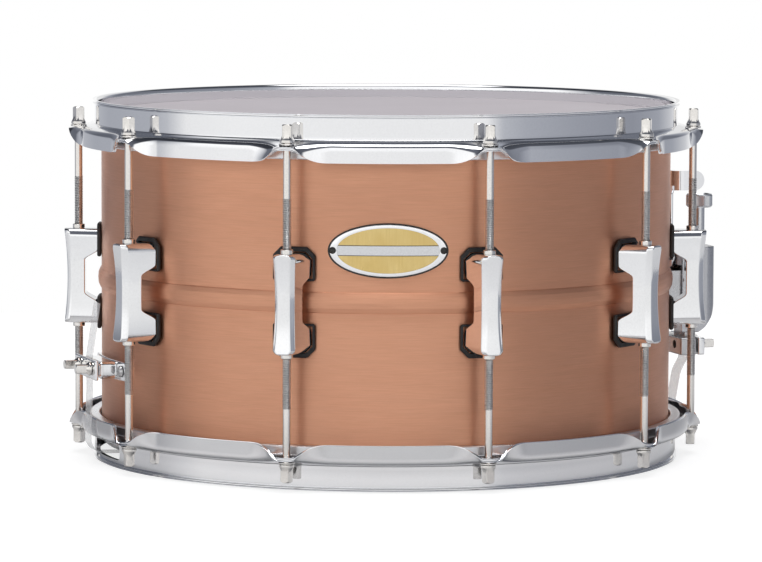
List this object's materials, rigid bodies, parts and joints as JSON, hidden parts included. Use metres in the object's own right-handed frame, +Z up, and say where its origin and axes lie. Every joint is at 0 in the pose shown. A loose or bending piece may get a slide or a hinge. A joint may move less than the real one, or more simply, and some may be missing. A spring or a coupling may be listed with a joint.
{
  "type": "snare drum",
  "caption": "Metal-shelled snare drum with flanged hoops, bridge lugs on tension rods, side-throw strainer, butt plate and snare wires.",
  "frame": {"origin": "on the drum's axis, in the plane that the snare hoop's rim rests on", "axes": "+Z up along the drum's axis, out of the batter head; a lug pair lies on the X axis; angles run from -Y towards +X, with the badge at 36, the strainer at 144 and the butt at -36 degrees"},
  "size_m": [0.4006, 0.384, 0.2214],
  "materials": {
    "copper": "satin brushed copper under clear lacquer",
    "chrome": "polished chrome plate",
    "rod_nickel": "bright plated steel",
    "steel": "plain plated steel",
    "wire_steel": "bright wire",
    "flesh_hoop": "satin",
    "badge": "gold-coloured plate, no lettering",
    "coated_film": "sprayed white coating",
    "clear_film": "thin hazy film",
    "strap": "translucent plastic strap",
    "rubber": "matt black gasket"
  },
  "bodies": {
    "root": {"shell": "copper", "batter_flesh_hoop": "flesh_hoop", "snare_flesh_hoop": "flesh_hoop", "batter_head": "coated_film", "snare_head": "clear_film", "lug_01": "chrome", "lug_02": "chrome", "lug_03": "chrome", "lug_04": "chrome", "lug_05": "chrome", "lug_06": "chrome", "lug_07": "chrome", "lug_08": "chrome", "lug_09": "chrome", "lug_10": "chrome", "badge": "badge", "vent_grommet": "chrome", "strainer_bracket": "steel", "strainer_casing": "chrome", "casing_pin_lower": "steel", "casing_pin_upper": "steel", "lever_pivot_pin": "steel", "butt_base": "chrome", "butt_clamp_plate": "chrome", "butt_clamp_bolt_left": "rod_nickel", "butt_clamp_bolt_right": "rod_nickel", "butt_screw_left": "steel", "butt_screw_right": "steel", "snare_wires": "wire_steel", "butt_strap": "strap"},
    "batter_hoop": {"batter_hoop": "chrome"},
    "batter_rod_01": {"batter_rod_01": "rod_nickel"},
    "batter_rod_02": {"batter_rod_02": "rod_nickel"},
    "batter_rod_03": {"batter_rod_03": "rod_nickel"},
    "batter_rod_04": {"batter_rod_04": "rod_nickel"},
    "batter_rod_05": {"batter_rod_05": "rod_nickel"},
    "batter_rod_06": {"batter_rod_06": "rod_nickel"},
    "batter_rod_07": {"batter_rod_07": "rod_nickel"},
    "batter_rod_08": {"batter_rod_08": "rod_nickel"},
    "batter_rod_09": {"batter_rod_09": "rod_nickel"},
    "batter_rod_10": {"batter_rod_10": "rod_nickel"},
    "snare_hoop": {"snare_hoop": "chrome"},
    "snare_rod_01": {"snare_rod_01": "rod_nickel"},
    "snare_rod_02": {"snare_rod_02": "rod_nickel"},
    "snare_rod_03": {"snare_rod_03": "rod_nickel"},
    "snare_rod_04": {"snare_rod_04": "rod_nickel"},
    "snare_rod_05": {"snare_rod_05": "rod_nickel"},
    "snare_rod_06": {"snare_rod_06": "rod_nickel"},
    "snare_rod_07": {"snare_rod_07": "rod_nickel"},
    "snare_rod_08": {"snare_rod_08": "rod_nickel"},
    "snare_rod_09": {"snare_rod_09": "rod_nickel"},
    "snare_rod_10": {"snare_rod_10": "rod_nickel"},
    "lever": {"strainer_lever": "chrome"},
    "slider": {"strainer_slider": "steel", "strainer_strap": "strap"},
    "adjuster": {"adjuster_screw": "chrome"},
    "carriage": {"clamp_carriage": "steel", "strainer_clamp_plate": "chrome", "strainer_clamp_bolt_left": "rod_nickel", "strainer_clamp_bolt_right": "rod_nickel"}
  },
  "joints": [
    {"name": "batter_tension", "type": "slide", "parent": "root", "child": "batter_hoop", "axis": [0, 0, 1], "range_m": [-0.0015, 0.004]},
    {"name": "batter_rod_01_turn", "type": "hinge", "parent": "batter_hoop", "child": "batter_rod_01", "pos_m": [0.05915, -0.18203, 0.2], "axis": [0, 0, 1], "range_deg": [-518, 1369]},
    {"name": "batter_rod_02_turn", "type": "hinge", "parent": "batter_hoop", "child": "batter_rod_02", "pos_m": [0.15485, -0.1125, 0.2], "axis": [0, 0, 1], "range_deg": [-518, 1369]},
    {"name": "batter_rod_03_turn", "type": "hinge", "parent": "batter_hoop", "child": "batter_rod_03", "pos_m": [0.1914, 0, 0.2], "axis": [0, 0, 1], "range_deg": [-518, 1369]},
    {"name": "batter_rod_04_turn", "type": "hinge", "parent": "batter_hoop", "child": "batter_rod_04", "pos_m": [0.15485, 0.1125, 0.2], "axis": [0, 0, 1], "range_deg": [-518, 1369]},
    {"name": "batter_rod_05_turn", "type": "hinge", "parent": "batter_hoop", "child": "batter_rod_05", "pos_m": [0.05915, 0.18203, 0.2], "axis": [0, 0, 1], "range_deg": [-518, 1369]},
    {"name": "batter_rod_06_turn", "type": "hinge", "parent": "batter_hoop", "child": "batter_rod_06", "pos_m": [-0.05915, 0.18203, 0.2], "axis": [0, 0, 1], "range_deg": [-518, 1369]},
    {"name": "batter_rod_07_turn", "type": "hinge", "parent": "batter_hoop", "child": "batter_rod_07", "pos_m": [-0.15485, 0.1125, 0.2], "axis": [0, 0, 1], "range_deg": [-518, 1369]},
    {"name": "batter_rod_08_turn", "type": "hinge", "parent": "batter_hoop", "child": "batter_rod_08", "pos_m": [-0.1914, 0, 0.2], "axis": [0, 0, 1], "range_deg": [-518, 1369]},
    {"name": "batter_rod_09_turn", "type": "hinge", "parent": "batter_hoop", "child": "batter_rod_09", "pos_m": [-0.15485, -0.1125, 0.2], "axis": [0, 0, 1], "range_deg": [-518, 1369]},
    {"name": "batter_rod_10_turn", "type": "hinge", "parent": "batter_hoop", "child": "batter_rod_10", "pos_m": [-0.05915, -0.18203, 0.2], "axis": [0, 0, 1], "range_deg": [-518, 1369]},
    {"name": "snare_tension", "type": "slide", "parent": "root", "child": "snare_hoop", "axis": [0, 0, 1], "range_m": [-0.004, 0.0015]},
    {"name": "snare_rod_01_turn", "type": "hinge", "parent": "snare_hoop", "child": "snare_rod_01", "pos_m": [0.05915, -0.18203, 0.02], "axis": [0, 0, 1], "range_deg": [-1369, 518]},
    {"name": "snare_rod_02_turn", "type": "hinge", "parent": "snare_hoop", "child": "snare_rod_02", "pos_m": [0.15485, -0.1125, 0.02], "axis": [0, 0, 1], "range_deg": [-1369, 518]},
    {"name": "snare_rod_03_turn", "type": "hinge", "parent": "snare_hoop", "child": "snare_rod_03", "pos_m": [0.1914, 0, 0.02], "axis": [0, 0, 1], "range_deg": [-1369, 518]},
    {"name": "snare_rod_04_turn", "type": "hinge", "parent": "snare_hoop", "child": "snare_rod_04", "pos_m": [0.15485, 0.1125, 0.02], "axis": [0, 0, 1], "range_deg": [-1369, 518]},
    {"name": "snare_rod_05_turn", "type": "hinge", "parent": "snare_hoop", "child": "snare_rod_05", "pos_m": [0.05915, 0.18203, 0.02], "axis": [0, 0, 1], "range_deg": [-1369, 518]},
    {"name": "snare_rod_06_turn", "type": "hinge", "parent": "snare_hoop", "child": "snare_rod_06", "pos_m": [-0.05915, 0.18203, 0.02], "axis": [0, 0, 1], "range_deg": [-1369, 518]},
    {"name": "snare_rod_07_turn", "type": "hinge", "parent": "snare_hoop", "child": "snare_rod_07", "pos_m": [-0.15485, 0.1125, 0.02], "axis": [0, 0, 1], "range_deg": [-1369, 518]},
    {"name": "snare_rod_08_turn", "type": "hinge", "parent": "snare_hoop", "child": "snare_rod_08", "pos_m": [-0.1914, 0, 0.02], "axis": [0, 0, 1], "range_deg": [-1369, 518]},
    {"name": "snare_rod_09_turn", "type": "hinge", "parent": "snare_hoop", "child": "snare_rod_09", "pos_m": [-0.15485, -0.1125, 0.02], "axis": [0, 0, 1], "range_deg": [-1369, 518]},
    {"name": "snare_rod_10_turn", "type": "hinge", "parent": "snare_hoop", "child": "snare_rod_10", "pos_m": [-0.05915, -0.18203, 0.02], "axis": [0, 0, 1], "range_deg": [-1369, 518]},
    {"name": "slider_drop", "type": "slide", "parent": "root", "child": "slider", "axis": [0, 0, 1], "range_m": [-0.007, 0], "deforming": ["strainer_strap"]},
    {"name": "lever_throw", "type": "hinge", "parent": "root", "child": "lever", "pos_m": [0.1125, 0.15485, 0.118], "axis": [0.5878, 0.809, 0], "range_deg": [-2, 52]},
    {"name": "carriage_travel", "type": "slide", "parent": "slider", "child": "carriage", "axis": [0, 0, 1], "range_m": [-0.002, 0.002]},
    {"name": "adjuster_turn", "type": "hinge", "parent": "slider", "child": "adjuster", "pos_m": [0.12402, 0.1707, 0.15], "axis": [0, 0, 1], "range_deg": [-740, 740]}
  ],
  "couplings": [
    {"joint": "batter_rod_01_turn", "follows": "batter_tension", "rad_per_m": 5936.9},
    {"joint": "batter_rod_02_turn", "follows": "batter_tension", "rad_per_m": 5936.9},
    {"joint": "batter_rod_03_turn", "follows": "batter_tension", "rad_per_m": 5936.9},
    {"joint": "batter_rod_04_turn", "follows": "batter_tension", "rad_per_m": 5936.9},
    {"joint": "batter_rod_05_turn", "follows": "batter_tension", "rad_per_m": 5936.9},
    {"joint": "batter_rod_06_turn", "follows": "batter_tension", "rad_per_m": 5936.9},
    {"joint": "batter_rod_07_turn", "follows": "batter_tension", "rad_per_m": 5936.9},
    {"joint": "batter_rod_08_turn", "follows": "batter_tension", "rad_per_m": 5936.9},
    {"joint": "batter_rod_09_turn", "follows": "batter_tension", "rad_per_m": 5936.9},
    {"joint": "batter_rod_10_turn", "follows": "batter_tension", "rad_per_m": 5936.9},
    {"joint": "snare_rod_01_turn", "follows": "snare_tension", "rad_per_m": 5936.9},
    {"joint": "snare_rod_02_turn", "follows": "snare_tension", "rad_per_m": 5936.9},
    {"joint": "snare_rod_03_turn", "follows": "snare_tension", "rad_per_m": 5936.9},
    {"joint": "snare_rod_04_turn", "follows": "snare_tension", "rad_per_m": 5936.9},
    {"joint": "snare_rod_05_turn", "follows": "snare_tension", "rad_per_m": 5936.9},
    {"joint": "snare_rod_06_turn", "follows": "snare_tension", "rad_per_m": 5936.9},
    {"joint": "snare_rod_07_turn", "follows": "snare_tension", "rad_per_m": 5936.9},
    {"joint": "snare_rod_08_turn", "follows": "snare_tension", "rad_per_m": 5936.9},
    {"joint": "snare_rod_09_turn", "follows": "snare_tension", "rad_per_m": 5936.9},
    {"joint": "snare_rod_10_turn", "follows": "snare_tension", "rad_per_m": 5936.9},
    {"joint": "lever_throw", "follows": "slider_drop", "rad_per_m": -124.67},
    {"joint": "adjuster_turn", "follows": "carriage_travel", "rad_per_m": -6283.2}
  ]
}
